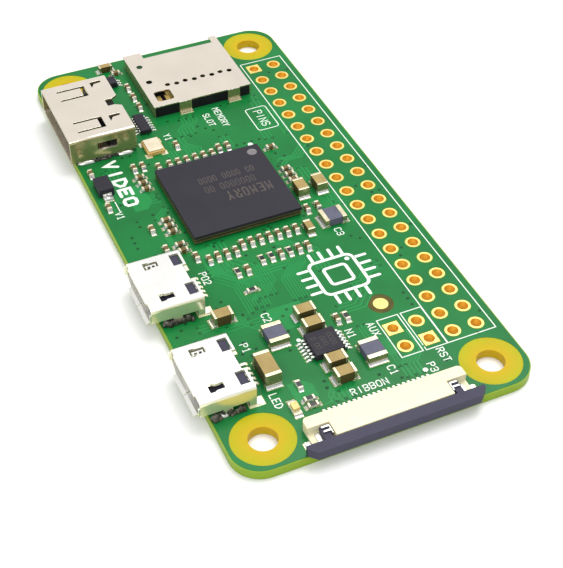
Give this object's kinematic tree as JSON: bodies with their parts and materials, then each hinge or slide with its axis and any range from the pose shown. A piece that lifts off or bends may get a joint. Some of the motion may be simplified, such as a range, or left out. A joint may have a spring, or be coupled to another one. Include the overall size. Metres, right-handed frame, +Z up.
{
  "type": "single board computer",
  "caption": "Small green single board computer with a pin header row, front ports, card socket and a latched ribbon connector.",
  "frame": {"origin": "centre of the four mounting holes, on the underside of the board", "axes": "+X along the board to the ribbon connector, +Y to the pin header, +Z up through the components"},
  "size_m": [0.0657, 0.0311, 0.0043],
  "materials": {
    "laminate": "satin glass laminate, bare at rings and edges",
    "solder_mask": "glossy green lacquer over traces",
    "gold_plate": "thin gold plate",
    "solder": "tinned, half bright",
    "port_steel": "warm plated sheet",
    "bright_steel": "bright plated sheet",
    "black_plastic": "fine matt",
    "slate_plastic": "satin",
    "ivory_plastic": "satin",
    "mould_compound": "fine-grained epoxy",
    "substrate": "thin laminate edge",
    "tan_ceramic": "fired ceramic",
    "white_ceramic": "alumina",
    "cream_ceramic": "glazed rim",
    "lid_metal": "plated lid",
    "ferrite": "ground ferrite",
    "resistor_glaze": "glazed film",
    "lamp_resin": "clear yellow resin",
    "spring_brass": "formed strip"
  },
  "bodies": {
    "board": {"board_core": "laminate", "solder_mask_top": "solder_mask", "solder_mask_bottom": "solder_mask", "header_plated_holes": "gold_plate", "aux_plated_holes": "gold_plate", "smd_lands": "gold_plate", "fiducial_dot": "gold_plate", "test_pads": "gold_plate", "processor_balls": "solder", "processor_substrate": "substrate", "processor_mould": "mould_compound", "memory_balls": "solder", "memory_substrate": "substrate", "memory_mould": "mould_compound", "video_port_shell": "port_steel", "video_port_insulator": "black_plastic", "video_port_contacts": "gold_plate", "data_port_shell": "bright_steel", "data_port_insulator": "slate_plastic", "data_port_contacts": "gold_plate", "power_port_shell": "bright_steel", "power_port_insulator": "slate_plastic", "power_port_contacts": "gold_plate", "card_socket_cover": "port_steel", "card_socket_base": "black_plastic", "card_socket_contacts": "gold_plate", "card_socket_detect_spring": "spring_brass", "ribbon_housing": "ivory_plastic", "ribbon_contacts": "solder", "ribbon_solder_tabs": "solder", "crystal_base": "cream_ceramic", "crystal_lid": "lid_metal", "regulator_body": "mould_compound", "regulator_leads": "solder", "inductor_cores": "ferrite", "inductor_ends": "solder", "small_capacitor_bodies": "tan_ceramic", "small_capacitor_ends": "solder", "power_capacitor_bodies": "tan_ceramic", "power_capacitor_ends": "solder", "resistor_bodies": "white_ceramic", "resistor_coats": "resistor_glaze", "resistor_ends": "solder", "diode_body": "mould_compound", "diode_leads": "solder", "lamp_base": "white_ceramic", "lamp_lens": "lamp_resin", "lamp_ends": "solder", "protection_array_body": "mould_compound", "protection_array_leads": "solder", "small_chip_body": "mould_compound", "small_chip_leads": "solder"},
    "latch": {"ribbon_latch": "slate_plastic"}
  },
  "joints": [
    {"name": "latch_slide", "type": "slide", "parent": "board", "child": "latch", "axis": [1, 0, 0], "range_m": [0, 0.0012]}
  ]
}
